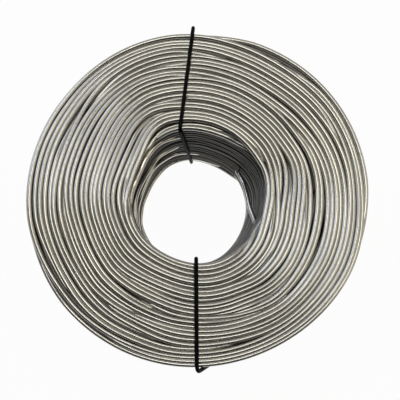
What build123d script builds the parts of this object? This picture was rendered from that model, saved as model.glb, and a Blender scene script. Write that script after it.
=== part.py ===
"""A belt-pack coil of 16 gauge annealed tie wire, held by two black wire ties.

The coil lies flat, as it is stored, with its axis along +Z. The origin is on that
axis, at the level that the coil stands on: the undersides of the two ties.
+Y points at the upper tie and -Y at the lower tie. All sizes are millimetres.
"""

import os
from math import cos, radians, sin, sqrt

from build123d import *

# Wire and winding
wire_diameter = 1.6
layer_count = 21  # turns that show across an end, from bore to rim
turns_per_layer = 19  # turns that lie side by side along the axis
layer_slack = 0.04
turn_slack = 0.05
bore_radius = 22.5

# Relief of the turns on the two ends, where every second layer stands proud
layer_setback = 0.8  # from a proud layer's end turn down to its neighbour's, half a wire
edge_setback = 0.45  # the same for the layers at the bore and at the rim
corner_depth = 1.3  # how far the bore wall and the rim stop short of the ends

# Relief of the turns on the rim, where one groove stands for several, to keep its faces few
turns_per_groove = 3
groove_depth = 0.8  # half a wire

# Free inner end of the wire, which springs off the bore wall
tail_root_angle = -30.0
tail_exit_angle = -20.0
tail_end_angle = 36.5
tail_tip_angle = 38.5
tail_root_drop = 9.5  # below the upper end of the coil
tail_tip_drop = 15.8
tail_root_sink = 0.9  # the root's centreline lies this far inside the bore wall
tail_exit_stand_off = 0.6  # the exit's centreline stands this far off the wall
tail_end_stand_off = 2.2
tail_tip_stand_off = 1.0
tail_bend_radius = 5.0
tip_bend_radius = 0.9

# Ties
tie_diameter = 1.3
tie_clearance = 0.1  # between a tie and the turns that it is pulled down on
twist_diameter = 2.4  # over the two strands of a tie's twisted ends
twist_length = 9.0
twist_heel = 1.1  # how far the twist reaches back over the point where its strands meet
twist_drop = 14.0  # below the upper end of the coil
strand_spacing = 0.8  # between the two strands where they enter the twist

# Where each tie crosses the corners of the coil, measured along X
upper_tie_across = {"rim top": -1.1, "bore top": -5.8, "bore base": -0.6, "rim base": -2.5, "twist": -1.0}
lower_tie_across = {"rim top": -0.4, "bore top": -0.5, "bore base": 1.0, "rim base": 2.0, "twist": 8.2}

# Worked out
layer_pitch = wire_diameter + layer_slack
turn_pitch = wire_diameter + turn_slack
outer_radius = bore_radius + layer_count * layer_pitch
coil_width = (turns_per_layer - 1) * turn_pitch + wire_diameter
coil_base = tie_diameter + tie_clearance
coil_top = coil_base + coil_width
tie_offset = tie_clearance + tie_diameter / 2  # from the coil to a tie's centreline
twist_offset = tie_clearance + twist_diameter / 2


def end_profile(level, outward):
    """One end of the winding, from bore to rim, as (radius, height) points: one a layer."""
    points = [(bore_radius, level - outward * corner_depth)]
    for layer in range(layer_count):
        radius = bore_radius + (layer + 0.5) * layer_pitch
        depth = edge_setback if layer in (0, layer_count - 1) else layer % 2 * layer_setback
        points.append((radius, level - outward * depth))
    return points + [(outer_radius, level - outward * corner_depth)]


def rim_profile():
    """The rim between its two corners, as (radius, height) points, with its grooves."""
    base, top = coil_base + corner_depth, coil_top - corner_depth
    steps = 2 * max(1, round((top - base) / (turns_per_groove * turn_pitch)))
    return [
        (outer_radius - step % 2 * groove_depth, base + (top - base) * step / steps)
        for step in range(1, steps)
    ]


def on_wall(radius, angle, drop):
    """A point at a radius, a polar angle and a depth below the coil's upper end."""
    return (radius * cos(radians(angle)), radius * sin(radians(angle)), coil_top - drop)


# The wound wire: one turned solid with its bore, and the wire's free inner end
with BuildPart() as wire_coil:
    with BuildSketch(Plane.XZ):
        with BuildLine():
            underside = end_profile(coil_base, -1)
            upper_side = end_profile(coil_top, 1)
            Polyline(*underside, *rim_profile(), *reversed(upper_side), close=True)
        make_face()
    revolve(axis=Axis.Z)

    with BuildLine() as tail:
        FilletPolyline(
            on_wall(bore_radius + tail_root_sink, tail_root_angle, tail_root_drop),
            on_wall(bore_radius - tail_exit_stand_off, tail_exit_angle, tail_root_drop),
            on_wall(bore_radius - tail_end_stand_off, tail_end_angle, tail_tip_drop),
            on_wall(bore_radius - tail_tip_stand_off, tail_tip_angle, tail_tip_drop),
            radius=[tail_bend_radius, tip_bend_radius],
        )
    with BuildSketch(Plane(origin=tail.line @ 0, z_dir=tail.line % 0)):
        Circle(wire_diameter / 2)
    sweep(path=tail.line)


def make_tie(side, across):
    """A tie round the coil's section, on the +Y or the -Y side, with its twisted ends."""

    def crossing(corner, radius, height):
        x = across[corner]
        return (x, side * sqrt(radius**2 - x**2), height)

    over = coil_top + tie_offset
    under = coil_base - tie_offset
    twist_start = Vector(*crossing("twist", outer_radius + twist_offset, coil_top - twist_drop))
    rim_tangent = Vector(twist_start.Y, -twist_start.X, 0).normalized() * side
    to_strand = Vector(0, 0, strand_spacing / 2)

    with BuildPart() as tie:
        with BuildLine() as loop:
            Polyline(
                twist_start + to_strand,
                crossing("rim top", outer_radius + tie_offset, over),
                crossing("bore top", bore_radius - tie_offset, over),
                crossing("bore base", bore_radius - tie_offset, under),
                crossing("rim base", outer_radius + tie_offset, under),
                twist_start - to_strand,
            )
        with BuildSketch(Plane(origin=loop.line @ 0, z_dir=loop.line % 0)):
            Circle(tie_diameter / 2)
        sweep(path=loop.line, transition=Transition.RIGHT)
        heel = twist_start - rim_tangent * twist_heel
        with BuildSketch(Plane(origin=heel, z_dir=rim_tangent)):
            Circle(twist_diameter / 2)
        extrude(amount=twist_heel + twist_length)
    return tie


upper_tie = make_tie(1, upper_tie_across)
lower_tie = make_tie(-1, lower_tie_across)

wire_coil.part.label = "wire_coil"
upper_tie.part.label = "upper_tie"
lower_tie.part.label = "lower_tie"

os.makedirs("parts", exist_ok=True)
export_step(wire_coil.part, "parts/wire_coil.step")
export_step(upper_tie.part, "parts/upper_tie.step")
export_step(lower_tie.part, "parts/lower_tie.step")
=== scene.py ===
# %% [markdown]
# # A belt-pack coil of annealed tie wire
#
# About a hundred metres of soft 1.6 mm steel wire, wound in layers round a drum, slipped
# off it and held with two black ties. What the eye reads is the wire itself: some twenty
# rings across each end, the places where a turn dives under its neighbours, and one crisp
# line of light along every turn. So the wire is modelled as wire, turn by turn.
#
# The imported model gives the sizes. Blender works in metres, so lengths in millimetres are
# written times MM.

# %% Load the frame
import math
import random

import bpy
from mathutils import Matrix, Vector


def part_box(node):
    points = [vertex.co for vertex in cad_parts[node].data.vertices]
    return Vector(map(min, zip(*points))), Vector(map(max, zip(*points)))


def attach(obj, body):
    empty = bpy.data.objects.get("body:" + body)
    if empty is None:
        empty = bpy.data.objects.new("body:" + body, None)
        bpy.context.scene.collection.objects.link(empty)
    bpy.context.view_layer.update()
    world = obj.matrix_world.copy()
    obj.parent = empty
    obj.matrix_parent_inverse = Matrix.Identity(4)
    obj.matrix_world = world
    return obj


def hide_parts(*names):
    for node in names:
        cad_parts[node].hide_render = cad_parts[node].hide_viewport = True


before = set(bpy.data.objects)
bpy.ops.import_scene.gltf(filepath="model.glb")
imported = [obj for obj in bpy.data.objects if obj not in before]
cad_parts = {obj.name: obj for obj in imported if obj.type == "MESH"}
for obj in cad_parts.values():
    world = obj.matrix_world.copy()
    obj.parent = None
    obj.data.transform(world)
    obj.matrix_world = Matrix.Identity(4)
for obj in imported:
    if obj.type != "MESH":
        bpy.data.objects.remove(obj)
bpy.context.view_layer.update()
coil_low, coil_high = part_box("wire_coil")
MM = 0.001
print("coil from", coil_low, "to", coil_high)

# %% [markdown]
# ## The wire and its lay
#
# The coil has 21 layers from bore to rim and 19 turns side by side in each. Their pitch
# is a shade more than the wire is thick, because soft wire never packs perfectly.

# %% Sizes of the winding
LAYERS = 21
TURNS = 19
WIRE_DIAMETER = 1.6 * MM
WIRE_RADIUS = WIRE_DIAMETER / 2
RIM_RADIUS = coil_high[0]
BORE_RADIUS = 22.5 * MM
LAYER_PITCH = (RIM_RADIUS - BORE_RADIUS) / LAYERS
TOP_TURN = coil_high[2] - WIRE_RADIUS
BASE_TURN = coil_low[2] + WIRE_RADIUS
TURN_PITCH = (TOP_TURN - BASE_TURN) / (TURNS - 1)
print(f"layer pitch {LAYER_PITCH / MM:.3f} mm, turn pitch {TURN_PITCH / MM:.3f} mm")

# %% [markdown]
# The drum was not quite round and neither is the coil. A few low harmonics, each with a
# size in millimetres and the angle of one of its high points, bend the turns. Angles are
# in degrees from +X, counterclockwise from above. The bore is the least round, with four
# soft corners, and a little narrower at its lower end. The harmonics were fitted to the
# edges of the bore, the turns and the rim in the photo, and most were then moved one by one.

# %% Out-of-round shape
BORE_LOBES = {0: (0.05, 0), 1: (0.62, 290), 2: (0.15, 80), 3: (0.35, 10), 4: (0.50, 22)}
LOWER_BORE_LOBES = {0: (-0.25, 0), 1: (0.36, 269), 2: (0.35, 55), 3: (0.30, 107), 4: (0.55, 24)}
MIDDLE_LOBES = {1: (0.30, 0), 2: (0.30, 109), 3: (0.30, 1), 4: (0.20, 18)}
RIM_LOBES = {0: (0.16, 0), 1: (0.20, 190), 2: (0.28, 17), 3: (0.12, 116), 5: (0.12, 42)}


def lobes(harmonics, angle):
    return MM * sum(
        size * math.cos(math.radians(count * (angle - peak)))
        for count, (size, peak) in harmonics.items()
    )


def radius_at(angle, share, height):
    """The radius at an angle, a share of the way from bore to rim and a height."""
    level = (height - BASE_TURN) / (TOP_TURN - BASE_TURN)
    bore = BORE_RADIUS + lobes(BORE_LOBES, angle) * level
    bore += lobes(LOWER_BORE_LOBES, angle) * (1 - level)
    rim = RIM_RADIUS + lobes(RIM_LOBES, angle)
    middle = 4 * share * (1 - share) * lobes(MIDDLE_LOBES, angle)
    return bore + (rim - bore) * share + middle


def polar(radius, angle, height):
    """The point at a radius, an angle in degrees and a height."""
    turned = math.radians(angle)
    return Vector((radius * math.cos(turned), radius * math.sin(turned), height))


# %% [markdown]
# ## The turns that show on an end
#
# The winder laid each layer clockwise, seen from above, and stepped out to the next layer
# when it reached an end. So a length of wire comes up beside the inner layer, goes round
# up to three times while it moves outward, and dives under its neighbours again. Each
# entry gives the angle where the outer end of such a run dives, the layer that it lies in
# there, for how many turns it shows, and how low it lies. Most were traced on the photo.

# %% Visible runs of the upper end, from the rim inward
UPPER_RUNS = [
    (350, 23.0, 0.26, 0.0),
    (206, 22.1, 0.58, 0.0),
    (50, 22.0, 0.44, 1.0 * MM),
    (240, 21.5, 1.90, 0.0),
    (22, 19.6, 1.74, 0.0),
    (152, 17.8, 0.28, 0.0),
    (85, 17.5, 1.14, 0.0),
    (240, 16.5, 1.62, 0.0),
    (187, 14.7, 0.16, 0.8 * MM),
    (254, 15.0, 2.09, 0.0),
    (90, 12.95, 0.44, 0.0),
    (241, 12.0, 0.43, 0.0),
    (294, 11.4, 2.18, 0.0),
    (284, 10.9, 0.06, 0.3 * MM),
    (245, 9.0, 3.36, 0.0),
    (308, 5.3, 0.44, 0.0),
    (7, 4.7, 1.94, 0.0),
    (123, 2.9, 2.58, 0.0),
    (26, 1.6, 0.43, 0.0),
    (185, 0.1, 0.36, 0.0),
    (66, 0.7, 0.19, 0.9 * MM),
    (48, 0.5, 0.22, 0.0),
]

# %% [markdown]
# Here and there two neighbours have parted, and a dark gap shows between them. Each entry
# gives the angle of a gap's middle, the layer that it lies in, how far it reaches to
# either side in degrees, and its greatest width as a share of the wire's thickness.

# %% Partings of the upper end, from the rim inward
UPPER_PARTINGS = [
    (64, 22.0, 24, 0.3),
    (226, 21.6, 34, 0.2),
    (207, 20.2, 20, 0.3),
    (145, 19.8, 20, 0.15),
    (222, 19.2, 20, 0.3),
    (246, 19.0, 18, 0.35),
    (150, 18.1, 38, 0.15),
    (148, 17.4, 34, 0.2),
    (18, 16.9, 30, 0.3),
    (196, 16.9, 22, 0.25),
    (235, 16.3, 16, 0.3),
    (116, 16.1, 34, 0.25),
    (262, 15.5, 20, 0.3),
    (296, 14.9, 14, 0.25),
    (42, 14.8, 34, 0.3),
    (78, 13.8, 24, 0.2),
    (152, 12.9, 46, 0.35),
    (338, 12.1, 56, 0.4),
    (258, 11.5, 22, 0.35),
    (2, 10.9, 44, 0.55),
    (236, 9.3, 20, 0.3),
    (316, 8.7, 24, 0.3),
    (20, 5.5, 18, 0.25),
    (305, 5.2, 16, 0.25),
    (8, 4.7, 34, 0.35),
    (140, 3.2, 52, 0.35),
    (318, 2.6, 40, 0.3),
    (196, 2.4, 36, 0.25),
    (180, 1.3, 30, 0.35),
    (116, 0.9, 22, 0.25),
]
print(len(UPPER_RUNS), "runs and", len(UPPER_PARTINGS), "partings on the upper end")

# %% [markdown]
# The turns at any one angle share the room between bore and rim. A turn that dives gives
# up its room, and its neighbours push it down as they close over it, but thick wire closes
# slowly, so a dark pocket stays open above each end. `room` and `sunk` follow a run
# through its two ends.


# %% Room and depth along a run
ROOM_ARC = 34  # degrees over which the neighbours part or close
PARTED_AT_END = 0.6  # how far along that arc they are where the run itself ends


def ease(share):
    """A smooth step from zero to one."""
    share = min(max(share, 0.0), 1.0)
    return share * share * (3 - 2 * share)


def through_ends(run, angle):
    """Zero beyond the two ends of a run, one along it, and eased over an arc between."""
    start, _, turns, _ = run
    end = start + 360 * turns
    into_start = ease((angle - start) / ROOM_ARC + PARTED_AT_END)
    out_of_end = ease((end - angle) / ROOM_ARC + PARTED_AT_END)
    return into_start * out_of_end


def full_room(run):
    """The lane that a run takes, as a share of the wire's thickness, less where it lies low."""
    lies_beside = math.sqrt(WIRE_DIAMETER**2 - run[3] ** 2)
    return 2 * lies_beside / WIRE_DIAMETER - 1


def room(run, angle):
    return full_room(run) * through_ends(run, angle)


def sunk(run, angle):
    """How far a wire is pushed down when its neighbours leave it only its room."""
    beside = (1 + room(run, angle)) / 2
    return WIRE_DIAMETER * math.sqrt(max(0.0, 1 - beside**2))


# %% [markdown]
# From the bore outward, the passes of all runs at one angle are in the order of their
# layers, and each lies beside the room that those before it take up.

# %% Place across the end
SAME_PASS = 0.01  # layers; two orders that are closer belong to the same pass
BORE_TUCK = 0.7  # how far, in turns, an end at the bore is tucked under its neighbour
RIM_TUCK = 0.15  # and one at the rim


def crossings(runs, partings, angle):
    """The passes of all runs and partings at an angle, from the bore outward: order and room."""
    found = []
    for middle, layer, reach, width in partings:
        off = (angle - middle + 180) % 360 - 180
        if abs(off) < reach:
            found.append((layer - off / 360, width * ease(1 - abs(off) / reach)))
    for run in runs:
        start, layer, turns, _ = run
        along = start - ROOM_ARC + (angle - start + ROOM_ARC) % 360
        while along < start + 360 * turns + ROOM_ARC:
            found.append((layer - (along - start) / 360, room(run, along)))
            along += 360
    return sorted(found)


def share_at(runs, partings, angle, run):
    """How far from bore to rim a run lies, at an angle counted on from its outer end."""
    start, layer, _, _ = run
    order = layer - (angle - start) / 360
    inside, total = 0.0, 0.0
    for other_order, width in crossings(runs, partings, angle):
        total += width
        if other_order < order - SAME_PASS:
            inside += width
    lane = inside + room(run, angle) / 2
    ended = 1 - through_ends(run, angle)
    innermost = full_room(run) / 2 + BORE_TUCK * ended
    outermost = total - full_room(run) / 2 - RIM_TUCK * ended
    return min(max(lane, innermost), outermost) / total


def crowded(runs, partings, angle, order):
    """Where turns lie closer than their thickness, every second one is pushed down."""
    lanes = sum(width for _, width in crossings(runs, partings, angle))
    pitch = (radius_at(angle, 1, TOP_TURN) - radius_at(angle, 0, TOP_TURN)) / lanes
    push = math.sqrt(max(0.0, WIRE_DIAMETER**2 - pitch**2))
    return push * (1 + math.cos(math.pi * order)) / 2


# %% [markdown]
# No two turns lie quite alike. Each run wavers by about a tenth of a millimetre sideways
# and a little more in height, with its own seeded phases.

# %% Waver
rng = random.Random(16)
WAVES_A_TURN = (0.7, 1.9, 3.3, 5.2)


def waver(phases, angle, sizes):
    """A sum of slow waves along a wire, each with its size in millimetres."""
    return sum(
        size * MM * math.sin(math.radians(angle * count) + phase)
        for size, count, phase in zip(sizes, WAVES_A_TURN, phases)
    )


def new_phases():
    return [rng.uniform(0, math.tau) for _ in WAVES_A_TURN]


# %% One visible run as points
POINTS_A_TURN = 150
HIDDEN_ARC = 24  # degrees that a run goes on, out of sight, beyond its ends
FACE_FALL = 0.12 * MM  # how far all turns lie below the end, which leaves them room to waver
EDGE_FALL = 0.5 * MM  # how far the turns at the bore and the rim lie below the rest
EDGE_LAYERS = 1.6  # over how many layers that eases out
SIDE_WAVER = (0.10, 0.08, 0.04, 0.02)
HEIGHT_WAVER = (0.12, 0.10, 0.07, 0.04)


def face_run(runs, partings, run, upper):
    """The centreline of one run, from its outer end to its inner one."""
    start, layer, turns, _ = run
    side_phases, height_phases = new_phases(), new_phases()
    count = round((turns + 2 * HIDDEN_ARC / 360) * POINTS_A_TURN)
    points = []
    for index in range(count + 1):
        angle = start - HIDDEN_ARC + 360 * index / POINTS_A_TURN
        share = share_at(runs, partings, angle, run)
        fall = FACE_FALL + sunk(run, angle)
        fall += crowded(runs, partings, angle, layer - (angle - start) / 360)
        fall += waver(height_phases, angle, HEIGHT_WAVER)
        from_bore, from_rim = share * LAYERS, (1 - share) * LAYERS
        fall += EDGE_FALL * (ease(1 - from_bore / EDGE_LAYERS) + ease(1 - from_rim / EDGE_LAYERS))
        height = TOP_TURN - fall if upper else BASE_TURN + fall
        radius = radius_at(angle, share, height) + waver(side_phases, angle, SIDE_WAVER)
        points.append(polar(radius, angle, height))
    return points


# %% [markdown]
# ## From centreline to wire
#
# One function sweeps a round section along a list of points. It carries its frame along
# the line, so that the section never twists, and lays out a UV map in real lengths, along
# the wire and round it, for the drawing lines of the finish.


# %% Sweep a round wire along points
def frames_along(points):
    """The tangent and one steady cross direction at each point."""
    tangents = []
    for index in range(len(points)):
        ahead = points[min(index + 1, len(points) - 1)]
        behind = points[max(index - 1, 0)]
        tangents.append((ahead - behind).normalized())
    cross = tangents[0].orthogonal().normalized()
    result = []
    for tangent in tangents:
        cross = (cross - tangent * cross.dot(tangent)).normalized()
        result.append((tangent, cross))
    return result


def add_wire(data, points, radius, sides, start_length):
    """Adds one round wire to the mesh data: rings of vertices, their quads, UVs and flat ends."""
    vertices, faces, uvs = data
    base = len(vertices)
    lengths = [start_length]
    for behind, ahead in zip(points, points[1:]):
        lengths.append(lengths[-1] + (ahead - behind).length)
    for point, (tangent, cross) in zip(points, frames_along(points)):
        other = tangent.cross(cross)
        for side in range(sides):
            turn = math.tau * side / sides
            vertices.append(point + (cross * math.cos(turn) + other * math.sin(turn)) * radius)
    girth = math.tau * radius
    for index in range(len(points) - 1):
        near, far = lengths[index], lengths[index + 1]
        low, high = base + index * sides, base + (index + 1) * sides
        for side in range(sides):
            after = (side + 1) % sides
            left, right = girth * side / sides, girth * (side + 1) / sides
            faces.append((low + side, low + after, high + after, high + side))
            uvs.extend([(near, left), (near, right), (far, right), (far, left)])
    for ring, flip in ((0, True), (len(points) - 1, False)):
        loop = [base + ring * sides + side for side in range(sides)]
        faces.append(tuple(reversed(loop)) if flip else tuple(loop))
        uvs.extend([(lengths[ring], girth * side / sides) for side in range(sides)])


# %% One object from several wires
UV_MAP = "wire_lengths"
SPREAD_OF_STARTS = 40  # metres; each wire starts somewhere in them, so that no two look alike


def add_object(name, mesh, material):
    mesh.materials.append(material)
    made = bpy.data.objects.new(name, mesh)
    bpy.context.scene.collection.objects.link(made)
    return made


def make_wires(name, wires, radius, sides, material):
    """One object from the points of several wires, each with its own stretch of the UV map."""
    data = ([], [], [])
    for points in wires:
        add_wire(data, points, radius, sides, rng.uniform(0, SPREAD_OF_STARTS))
    vertices, faces, uvs = data
    mesh = bpy.data.meshes.new(name)
    mesh.from_pydata(vertices, [], faces)
    layer = mesh.uv_layers.new(name=UV_MAP)
    layer.data.foreach_set("uv", [value for uv in uvs for value in uv])
    for polygon in mesh.polygons:
        polygon.use_smooth = len(polygon.vertices) == 4
    print(name, "triangles", sum(len(polygon.vertices) - 2 for polygon in mesh.polygons))
    return add_object(name, mesh, material)


# %% [markdown]
# ## Finishes
#
# Colours are written as sRGB hex and turned to linear values. One helper adds a shader
# node with its settings and its inputs.


# %% Colour and node helpers
def linear(hex_colour):
    """The linear red, green, blue and alpha of a colour that is written as sRGB hex."""
    channels = [int(hex_colour[place : place + 2], 16) / 255 for place in (1, 3, 5)]
    return [c / 12.92 if c <= 0.04045 else ((c + 0.055) / 1.055) ** 2.4 for c in channels] + [1.0]


def add_node(tree, kind, settings=None, **inputs):
    """Adds a node; an input is a value, or a socket to link from."""
    made = tree.nodes.new(kind)
    for key, value in (settings or {}).items():
        setattr(made, key, value)
    for key, value in inputs.items():
        name = int(key[1:]) if key[0] == "_" else key.replace("_", " ")
        if isinstance(value, bpy.types.NodeSocket):
            tree.links.new(value, made.inputs[name])
        else:
            made.inputs[name].default_value = value
    return made


def add_noise(tree, place, scale, detail):
    noise = add_node(tree, "ShaderNodeTexNoise", Vector=place, Scale=scale, Detail=detail)
    return noise.outputs[0]


def spread_out(tree, noise, lowest, highest):
    """A noise, which keeps to the middle of its range, stretched from one value to another."""
    spread = add_node(
        tree,
        "ShaderNodeMapRange",
        Value=noise,
        From_Min=0.3,
        From_Max=0.7,
        To_Min=lowest,
        To_Max=highest,
    )
    return spread.outputs[0]


def new_material(name):
    material = bpy.data.materials.new(name)
    material.use_nodes = True
    material.node_tree.nodes.clear()
    return material, material.node_tree


# %% [markdown]
# The wire is low-carbon steel, drawn through a die and annealed in a closed pot, so that
# it stays bright. Drawing leaves fine lines along it and annealing a soft grey bloom. The
# lines are some 0.02 mm apart, too fine to show here, so they are drawn ten times coarser.
# Three more copies of this steel paint light and shade into its colour. The turns that
# stand proud in the bore take a lighter one, a painted highlight. The bore wall takes a
# darker one, painted shade in the bore, and the second bed and the buried ring another
# darker one, painted shade in the gaps between the turns.

# %% Bright annealed steel
DRAWING_LINE = 0.2 * MM
DRAWING_DEPTH = 0.02 * MM
LINES_A_METRE = (25, 1 / DRAWING_LINE, 1)  # along the wire and round it
BLOOMS_A_METRE = (30, 60, 1)


def make_steel(name, clean, bloomed, smoothest, roughest):
    """Drawn and annealed steel, with its clean and bloomed colours and its roughness in both."""
    material, tree = new_material(name)
    lengths = add_node(tree, "ShaderNodeUVMap", {"uv_map": UV_MAP}).outputs["UV"]
    streaked = add_node(tree, "ShaderNodeMapping", Vector=lengths, Scale=LINES_A_METRE)
    lines = add_noise(tree, streaked.outputs[0], 1.0, 2.0)
    patched = add_node(tree, "ShaderNodeMapping", Vector=lengths, Scale=BLOOMS_A_METRE)
    bloom = add_noise(tree, patched.outputs[0], 1.0, 3.0)
    colour = add_node(
        tree,
        "ShaderNodeMix",
        {"data_type": "RGBA"},
        _0=bloom,
        _6=linear(clean),
        _7=linear(bloomed),
    )
    relief = add_node(tree, "ShaderNodeBump", Height=lines, Strength=0.06, Distance=DRAWING_DEPTH)
    surface = add_node(
        tree,
        "ShaderNodeBsdfPrincipled",
        Base_Color=colour.outputs[2],
        Metallic=1.0,
        Roughness=spread_out(tree, bloom, smoothest, roughest),
        Normal=relief.outputs[0],
    )
    add_node(tree, "ShaderNodeOutputMaterial", Surface=surface.outputs[0])
    return material


steel = make_steel("bright_annealed_steel", "#C5C3BD", "#A09F99", 0.18, 0.30)
# a lighter copy of the steel: painted highlight on the proud turns of the bore
proud_painted_highlight_steel = make_steel("proud_painted_highlight_steel", "#E2DFD6", "#C4C1B8", 0.18, 0.30)
# a darker copy of the steel: painted shade on the turns of the bore wall
bore_painted_shade_steel = make_steel("bore_painted_shade_steel", "#5C5B57", "#454441", 0.24, 0.36)
# a darker copy of the steel: painted shade in the gaps, for the second bed and the buried ring
buried_painted_shade_steel = make_steel("buried_painted_shade_steel", "#6E6C69", "#565451", 0.36, 0.46)

# %% [markdown]
# The ties are the same kind of wire in a thinner gauge, with a satin black varnish. They
# keep no more than a thin grey line of light.


# %% Black varnished wire
def make_varnish():
    material, tree = new_material("satin_black_varnish")
    place = add_node(tree, "ShaderNodeTexCoord").outputs["Object"]
    specks = add_noise(tree, place, 900.0, 2.0)
    relief = add_node(tree, "ShaderNodeBump", Height=specks, Strength=0.3, Distance=0.05 * MM)
    surface = add_node(
        tree,
        "ShaderNodeBsdfPrincipled",
        Base_Color=linear("#0C0C0E"),
        Specular_IOR_Level=0.04,
        Roughness=spread_out(tree, specks, 0.32, 0.5),
        Normal=relief.outputs[0],
    )
    add_node(tree, "ShaderNodeOutputMaterial", Surface=surface.outputs[0])
    return material


varnish = make_varnish()
print(len(bpy.data.materials), "materials")

# %% [markdown]
# ## The winding
#
# Only the turns that can be seen are made. On the two ends these are runs as described
# above, and under them one more bed of turns that shows in the gaps. The bore and the rim
# are each one long helix.

# %% Upper face
upper_face = make_wires(
    "upper_face_turns",
    [face_run(UPPER_RUNS, UPPER_PARTINGS, run, True) for run in UPPER_RUNS],
    WIRE_RADIUS,
    14,
    steel,
)

# %% [markdown]
# The lower end can't be seen in the photograph and is made the same way, with runs of
# about two turns whose ends are spread evenly round it.

# %% Lower face
LOWER_SPREAD = 137  # degrees from the start of one run to the next
LOWER_RUNS = [
    (360 - LOWER_SPREAD * step % 360, 20.5 - 2 * step, 1.95, 0.0) for step in range(10)
]
LOWER_RUNS.append((30, 0.6, 1.0, 0.0))
lower_face = make_wires(
    "lower_face_turns",
    [face_run(LOWER_RUNS, [], run, False) for run in LOWER_RUNS],
    WIRE_RADIUS,
    12,
    steel,
)

# %% Second bed of turns
BED_DEPTH = 1.45 * MM
BED_WAVER = 0.1 * MM
BED_POINTS = 120


def bed_ring(share, upper):
    phase = new_phases()[0]
    height = TOP_TURN - BED_DEPTH if upper else BASE_TURN + BED_DEPTH
    points = []
    for index in range(BED_POINTS + 1):
        angle = 360 * index / BED_POINTS
        waves = BED_WAVER * math.sin(math.radians(3 * angle) + phase)
        points.append(polar(radius_at(angle, share, height) + waves, angle, height))
    return points


bed_rings = [
    bed_ring(ring / LAYERS, upper) for upper in (True, False) for ring in range(1, LAYERS)
]
# the bed takes the darker steel, painted shade in the gaps between the turns above it
bed = make_wires("second_bed_turns", bed_rings, WIRE_RADIUS, 8, buried_painted_shade_steel)

# %% [markdown]
# The bore wall is the first layer of the winding, and the rim is the last. Their turns
# lie close together, but they lean and bulge a little where the drum let go, and the two
# ends of each helix are tucked into the winding.

# %% Bore and rim
WALL_TURNS = 18  # all that fit between the lowered edges of the two ends
WALL_PITCH = (TOP_TURN - BASE_TURN - 2 * EDGE_FALL) / (WALL_TURNS - 1)
WALL_WAVER = (0.10, 0.08, 0.05, 0.03)
BLEND_TURNS = 0.15  # over how much of a turn the waver of one turn passes into the next's
TUCKED_TURNS = 0.12  # over how much of a turn an end is tucked into the winding


def wall_helix(share, points_a_turn, uneven):
    """A helix down a wall, from its second turn to its last but one, and its unevenness."""
    inward = 1 if share < 0.5 else -1  # the way into the winding
    phases = [new_phases() for _ in range(TURNS + 2)]
    sizes = [size * uneven for size in WALL_WAVER]
    first_turn, last_turn = 1, WALL_TURNS - 2
    points = []
    for index in range((last_turn - first_turn) * points_a_turn + 1):
        turn = first_turn + index / points_a_turn
        angle = 360 * turn
        height = TOP_TURN - EDGE_FALL - turn * WALL_PITCH
        whole = int(turn)
        blend = ease(1 - (whole + 1 - turn) / BLEND_TURNS)
        bulge = (1 - blend) * waver(phases[whole], angle, sizes)
        bulge += blend * waver(phases[whole + 1], angle, sizes)
        to_end = min(turn - first_turn, last_turn - turn)
        bulge += inward * WIRE_DIAMETER * (1 - ease(to_end / TUCKED_TURNS))
        points.append(polar(radius_at(angle, share, height) + bulge, angle, height))
    return points


bore_helix = wall_helix(0.5 / LAYERS, 110, 1.6)
# the bore's turns take the darker steel, painted shade inside the bore
bore_wall = make_wires("bore_wall_turns", [bore_helix], WIRE_RADIUS, 12, bore_painted_shade_steel)
rim_helix = wall_helix(1 - 0.5 / LAYERS, 150, 1.5)
rim_wall = make_wires("rim_wall_turns", [rim_helix], WIRE_RADIUS, 12, steel)

# %% [markdown]
# All the turns that are buried stand together as one plain ring, which keeps light from
# falling through the winding.

# %% Buried turns
CORE_STEPS = 96
CORE_INNER = BORE_RADIUS + 2.0 * LAYER_PITCH
CORE_OUTER = RIM_RADIUS - 1.7 * LAYER_PITCH
CORE_LOW = BASE_TURN + 1.6 * TURN_PITCH
CORE_HIGH = TOP_TURN - 1.6 * TURN_PITCH


def make_core():
    corners = [
        (CORE_INNER, CORE_LOW),
        (CORE_OUTER, CORE_LOW),
        (CORE_OUTER, CORE_HIGH),
        (CORE_INNER, CORE_HIGH),
    ]
    vertices, faces = [], []
    for step in range(CORE_STEPS):
        here, there = 4 * step, 4 * ((step + 1) % CORE_STEPS)
        for side, (radius, height) in enumerate(corners):
            after = (side + 1) % 4
            vertices.append(polar(radius, 360 * step / CORE_STEPS, height))
            faces.append((here + side, here + after, there + after, there + side))
    mesh = bpy.data.meshes.new("buried_turns")
    mesh.from_pydata(vertices, [], faces)
    # the same darker steel, painted shade where the ring shows through the gaps
    return add_object("buried_turns", mesh, buried_painted_shade_steel)


core = make_core()

# %% [markdown]
# When the drum came out, a few turns of the bore sprang inward on one side. They stand
# proud of the wall, so that they catch the light, and slip back between its turns at
# both ends. The inner end of the wire is free as well: it springs off the wall and stands
# out across it, with a small hook where it was cut. Each is a smooth line through points:
# angle, distance of the centreline off the wall, and depth below the upper end.

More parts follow.
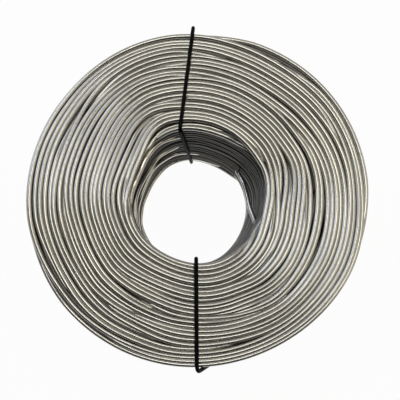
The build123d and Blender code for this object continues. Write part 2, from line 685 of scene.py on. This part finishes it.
# %% Routes of the proud turns and of the free inner end
LOWEST_PROUD_TURN = [
    (60, -1.2, 28.6),
    (90, -0.6, 28.7),
    (116, 0.0, 28.9),
    (140, 0.1, 29.0),
    (165, 0.1, 27.8),
    (180, 0.2, 26.6),
    (200, 0.1, 25.4),
    (225, -0.4, 24.6),
    (250, -1.2, 24.2),
]
THIRD_PROUD_TURN = [
    (80, -1.2, 22.6),
    (105, -0.3, 21.2),
    (124, 0.4, 18.9),
    (141, 0.6, 16.2),
    (158, 0.7, 16.2),
    (176, 0.7, 14.4),
    (192, 0.6, 10.8),
    (214, -1.2, 7.0),
]
SECOND_PROUD_TURN = [
    (104, -1.2, 15.6),
    (126, -0.3, 14.6),
    (144, 0.5, 12.6),
    (158, 0.8, 10.4),
    (172, 0.8, 7.8),
    (188, 0.6, 5.4),
    (210, -1.5, 4.4),
]
TOPMOST_PROUD_TURN = [
    (100, -1.3, 8.0),
    (122, -0.5, 5.6),
    (140, 0.3, 3.2),
    (156, 0.5, 3.2),
    (168, 0.4, 2.4),
    (180, -0.3, 2.9),
    (196, -1.7, 4.0),
]
FREE_END = [
    (-36, -3.4, 9.0),
    (-27, -2.2, 9.3),
    (-19, 0.0, 9.8),
    (-8, 2.4, 11.2),
    (8, 3.5, 13.2),
    (23, 3.0, 14.9),
    (34, 2.3, 15.7),
    (37, 2.1, 15.7),
    (38.5, 1.4, 15.2),
    (39.5, 0.7, 14.7),
]


# %% Proud turns and free inner end
def smooth_curve(points, steps):
    """A smooth line through points, by Catmull-Rom."""
    padded = [points[0] * 2 - points[1], *points, points[-1] * 2 - points[-2]]
    result = []
    for before, near, far, after in zip(padded, padded[1:], padded[2:], padded[3:]):
        slope = far - before
        bend = before * 2 - near * 5 + far * 4 - after
        twist = near * 3 - before - far * 3 + after
        for step in range(steps):
            t = step / steps
            result.append(0.5 * (near * 2 + slope * t + bend * t**2 + twist * t**3))
    return result + [points[-1]]


def wall_route(places, steps):
    """A smooth line along the bore wall, through places in degrees and millimetres."""
    points = []
    for angle, off_wall, drop in places:
        height = coil_high[2] - drop * MM
        points.append(polar(radius_at(angle, 0.0, height) - off_wall * MM, angle, height))
    return smooth_curve(points, steps)


tail = make_wires("free_inner_end", [wall_route(FREE_END, 8)], WIRE_RADIUS, 16, steel)
proud_routes = [
    wall_route(places, 10)
    for places in (LOWEST_PROUD_TURN, THIRD_PROUD_TURN, SECOND_PROUD_TURN, TOPMOST_PROUD_TURN)
]
# the proud turns take the lighter steel, a painted highlight
proud_turns = make_wires("proud_bore_turns", proud_routes, WIRE_RADIUS, 14, proud_painted_highlight_steel)

# %% The coil rides on the one body
for piece in (upper_face, lower_face, bed, bore_wall, rim_wall, core, tail, proud_turns):
    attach(piece, "root")
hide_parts("wire_coil")

# %% [markdown]
# ## The ties
#
# Each tie is a length of thinner black wire, passed through the bore, pulled tight round
# the section and twisted on the rim. It is given by how far along X it crosses each
# corner of the coil's section, in millimetres.

# %% Sizes of the ties
TIE_DIAMETER = 1.3 * MM
TIE_CLEARANCE = 0.1 * MM
TIE_OFFSET = TIE_CLEARANCE + TIE_DIAMETER / 2
TWIST_DROP = 14.0 * MM
TWIST_LENGTH = 9.0 * MM
TWIST_LAY = 5.5 * MM  # the length of one full twist
TWIST_HEEL = 1.2 * MM  # how far before the twist each strand turns into it
BENDS = [1.5 * MM, 2.4 * MM, 2.0 * MM, 2.0 * MM, 2.4 * MM, 1.5 * MM]  # from corner to bend
UPPER_TIE = {"rim top": -1.1, "bore top": -5.8, "bore base": -0.6, "rim base": -2.5, "twist": -1.0}
LOWER_TIE = {"rim top": -0.4, "bore top": -0.5, "bore base": 1.0, "rim base": 2.0, "twist": 8.2}


# %% Tie wire
def eased_corners(points, cuts, steps=8):
    """A line with its corners eased by curves that start a given length before each corner."""
    result = [points[0]]
    for before, corner, after, cut in zip(points, points[1:], points[2:], cuts):
        near = corner + (before - corner).normalized() * cut
        far = corner + (after - corner).normalized() * cut
        for step in range(steps + 1):
            t = step / steps
            result.append(near * (1 - t) ** 2 + corner * 2 * t * (1 - t) + far * t**2)
    return result + [points[-1]]


def tie_strand(start, along, outward, phase, steps=48):
    """One of the two strands of the twisted ends."""
    strand = []
    for step in range(steps + 1):
        length = TWIST_LENGTH * step / steps
        turn = math.tau * length / TWIST_LAY + phase
        aside = outward * math.sin(turn) + Vector((0, 0, math.cos(turn)))
        strand.append(start + along * length + aside * TIE_DIAMETER / 2)
    return strand


def make_tie(name, side, across):
    """A tie on the +Y or the -Y side, from one cut end round the section to the other."""

    def crossing(corner, radius, height):
        x = across[corner] * MM
        return Vector((x, side * math.sqrt(radius**2 - x**2), height))

    over, under = coil_high[2] + TIE_OFFSET, coil_low[2] - TIE_OFFSET
    twist = crossing("twist", RIM_RADIUS + 2 * TIE_OFFSET, coil_high[2] - TWIST_DROP)
    outward = Vector((twist.x, twist.y, 0)).normalized()
    along = Vector((outward.y, -outward.x, 0)) * side
    loop = [
        crossing("rim top", RIM_RADIUS + TIE_OFFSET, over),
        crossing("bore top", BORE_RADIUS - TIE_OFFSET, over),
        crossing("bore base", BORE_RADIUS - TIE_OFFSET, under),
        crossing("rim base", RIM_RADIUS + TIE_OFFSET, under),
    ]
    first = tie_strand(twist, along, outward, 0)
    second = tie_strand(twist, along, outward, math.pi)
    heels = [strand[0] - along * TWIST_HEEL for strand in (first, second)]
    around = eased_corners([first[0], heels[0], *loop, heels[1], second[0]], BENDS)
    line = [*reversed(first[1:]), *around, *second[1:]]
    return make_wires(name, [line], TIE_DIAMETER / 2, 16, varnish)


for name, side, across in (("upper_tie", 1, UPPER_TIE), ("lower_tie", -1, LOWER_TIE)):
    tie = make_tie(name + "_wire", side, across)
    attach(tie, "root")
    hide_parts(name)

# %% [markdown]
# ## Studio
#
# The floor looks white to the camera and in reflections, and keeps a faint shadow. A
# large soft lamp hangs overhead, a cool one stands at the upper left, a warm one at the
# right and a weak one behind, and the surround is dim.

# %% Floor
FLOOR_REACH = 3.0
FLOOR_GLOW = 0.96  # how much of the floor is plain white where it is seen; the rest is lit


def make_floor():
    material, tree = new_material("white_floor")
    rays = add_node(tree, "ShaderNodeLightPath").outputs
    seen = rays["Is Camera Ray"]
    for kind in ("Is Glossy Ray", "Is Transmission Ray"):
        both = add_node(tree, "ShaderNodeMath", {"operation": "MAXIMUM"}, _0=seen, _1=rays[kind])
        seen = both.outputs[0]
    share = add_node(tree, "ShaderNodeMath", {"operation": "MULTIPLY"}, _0=seen, _1=FLOOR_GLOW)
    paper = add_node(tree, "ShaderNodeBsdfDiffuse", Color=linear("#F4F4F4"))
    glow = add_node(tree, "ShaderNodeEmission", Color=(1, 1, 1, 1), Strength=1.0)
    mixed = add_node(
        tree,
        "ShaderNodeMixShader",
        _0=share.outputs[0],
        _1=paper.outputs[0],
        _2=glow.outputs[0],
    )
    add_node(tree, "ShaderNodeOutputMaterial", Surface=mixed.outputs[0])
    reach = FLOOR_REACH
    corners = [(-reach, -reach, 0), (reach, -reach, 0), (reach, reach, 0), (-reach, reach, 0)]
    mesh = bpy.data.meshes.new("floor")
    mesh.from_pydata(corners, [], [(0, 1, 2, 3)])
    floor = add_object("floor", mesh, material)


make_floor()

# %% Lamps
LIT_POINT = Vector((0, 0, 0.02))


def add_light(name, place, size, brightness, colour):
    """A soft lamp: its size along and across, and how bright its face looks, where 1 is white."""
    lamp = bpy.data.lights.new(name, "AREA")
    lamp.shape = "RECTANGLE"
    lamp.size, lamp.size_y = size
    lamp.energy = brightness * math.pi * size[0] * size[1]
    lamp.color = linear(colour)[:3]
    light = bpy.data.objects.new(name, lamp)
    light.location = place
    light.rotation_euler = (LIT_POINT - Vector(place)).to_track_quat("-Z", "Y").to_euler()
    bpy.context.scene.collection.objects.link(light)


add_light("overhead", (0.0, 0.06, 0.45), (0.20, 0.16), 3.6, "#FFFDF4")
add_light("upper_left", (-0.32, 0.24, 0.28), (0.36, 0.24), 2.6, "#D8E2FA")
add_light("right", (0.37, 0.05, 0.33), (0.52, 0.28), 1.1, "#FFF2D6")
add_light("behind", (0.05, 0.42, 0.36), (0.50, 0.30), 0.5, "#FFF8EA")

# %% Surround
FRONT_LEVEL = 0.04
BACK_LEVEL = 0.30


def make_world():
    """A dim surround, brighter behind the coil than in front of it."""
    world = bpy.data.worlds.new("surround")
    bpy.context.scene.world = world
    world.use_nodes = True
    tree = world.node_tree
    tree.nodes.clear()
    direction = add_node(tree, "ShaderNodeTexCoord").outputs["Generated"]
    parts = add_node(tree, "ShaderNodeSeparateXYZ", Vector=direction)
    level = add_node(
        tree,
        "ShaderNodeMapRange",
        Value=parts.outputs[1],
        From_Min=-1.0,
        From_Max=1.0,
        To_Min=FRONT_LEVEL,
        To_Max=BACK_LEVEL,
    )
    sky = add_node(tree, "ShaderNodeBackground", Color=(1, 1, 1, 1), Strength=level.outputs[0])
    add_node(tree, "ShaderNodeOutputWorld", Surface=sky.outputs[0])


make_world()

# %% [markdown]
# The camera looks down from just above the coil, a little in front of its middle, so
# that the far wall of the bore shows. Its axis misses the middle of the picture, as in a
# picture that was cropped. Its place and its axis were fitted to the photo.

# %% Camera
PHOTO_WIDTH = 400  # pixels
FOCAL_PIXELS = 300
AXIS_PIXEL = (180.5, 252.3)  # where the camera's axis meets the photo
SENSOR_WIDTH = 36
CAMERA_PLACE = (-5.55 * MM, -26.58 * MM, 129.98 * MM)
CAMERA_TILT = 4  # degrees forward from straight down
camera_data = bpy.data.cameras.new("camera")
camera_data.sensor_width = SENSOR_WIDTH
camera_data.lens = SENSOR_WIDTH * FOCAL_PIXELS / PHOTO_WIDTH
camera_data.shift_x = (PHOTO_WIDTH / 2 - AXIS_PIXEL[0]) / PHOTO_WIDTH
camera_data.shift_y = (AXIS_PIXEL[1] - PHOTO_WIDTH / 2) / PHOTO_WIDTH
camera_data.clip_start = 0.005
camera = bpy.data.objects.new("camera", camera_data)
camera.location = CAMERA_PLACE
camera.rotation_euler = (math.radians(CAMERA_TILT), 0, 0)
bpy.context.scene.collection.objects.link(camera)
bpy.context.scene.camera = camera
bpy.context.scene.view_settings.view_transform = "Standard"
